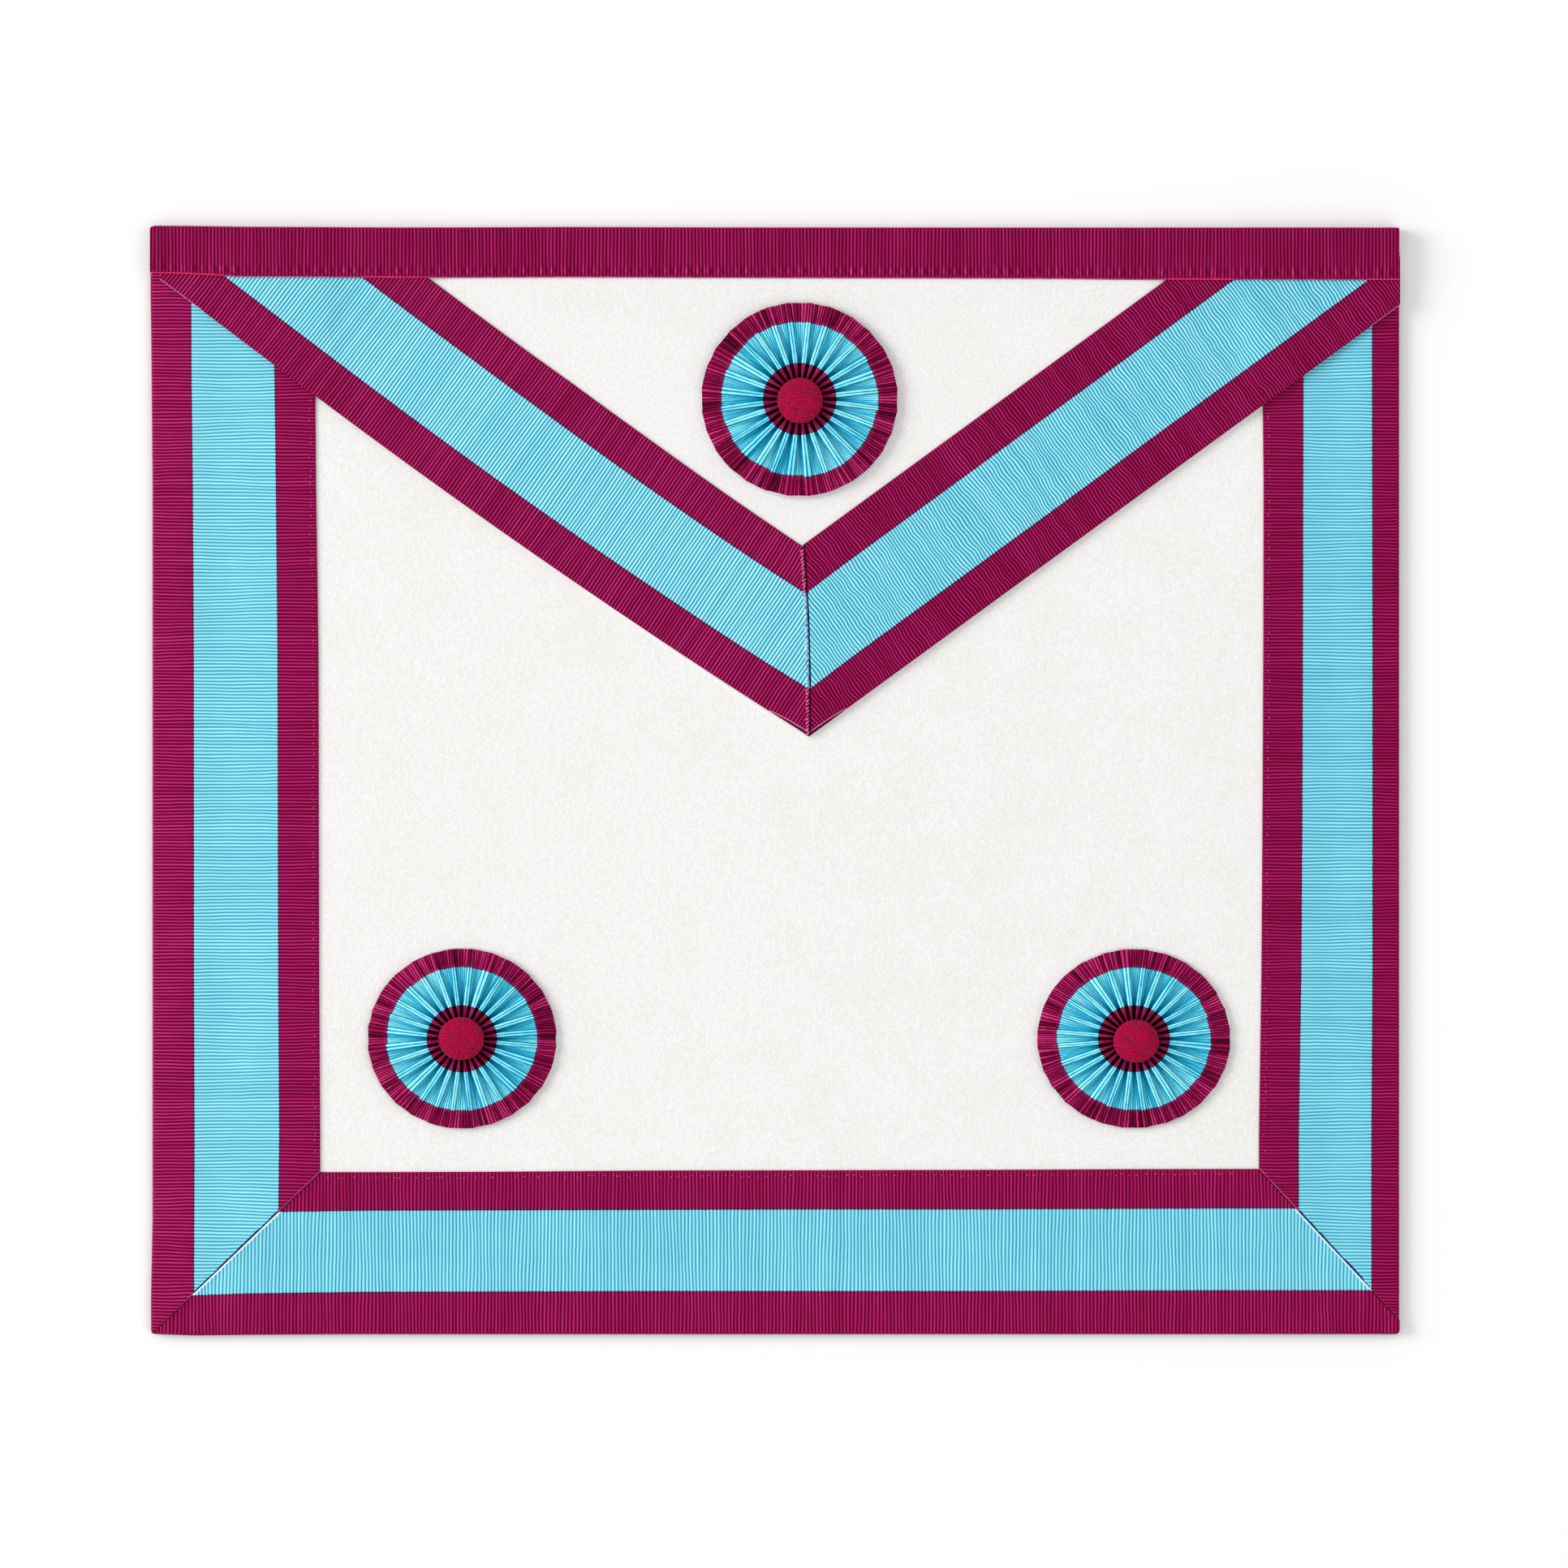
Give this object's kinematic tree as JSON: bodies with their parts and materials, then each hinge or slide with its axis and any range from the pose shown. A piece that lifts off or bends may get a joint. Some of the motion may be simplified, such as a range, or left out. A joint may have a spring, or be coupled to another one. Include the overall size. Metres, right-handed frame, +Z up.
{
  "type": "masonic apron",
  "caption": "White leather ceremonial apron with striped grosgrain borders, a ribboned triangular flap, a crimson waistband and pleated rosettes with covered buttons, lying flat.",
  "frame": {"origin": "under the middle of the apron, on the surface that it lies on", "axes": "+X across the apron to the right as its face is seen, +Y from the bottom edge to the waistband, +Z up out of the face"},
  "size_m": [0.4, 0.355, 0.012],
  "materials": {
    "white_leather": "matt white lambskin with a fine grain",
    "striped_ribbon": "grosgrain with cross ribs, sky blue between crimson stripes",
    "crimson_ribbon": "crimson grosgrain with cross ribs",
    "button_cloth": "crimson plain-weave cloth over a domed button",
    "rosette_backing": "pale stiff cloth, unbleached"
  },
  "bodies": {
    "root": {"apron_body": "white_leather", "border_ribbon_left": "striped_ribbon", "border_ribbon_bottom": "striped_ribbon", "border_ribbon_right": "striped_ribbon", "flap_leather": "white_leather", "flap_ribbon_left": "striped_ribbon", "flap_ribbon_right": "striped_ribbon", "waistband": "crimson_ribbon", "rosette_top_backing": "rosette_backing", "rosette_top_pleats": "striped_ribbon", "rosette_top_button": "button_cloth", "rosette_left_backing": "rosette_backing", "rosette_left_pleats": "striped_ribbon", "rosette_left_button": "button_cloth", "rosette_right_backing": "rosette_backing", "rosette_right_pleats": "striped_ribbon", "rosette_right_button": "button_cloth"}
  },
  "joints": []
}
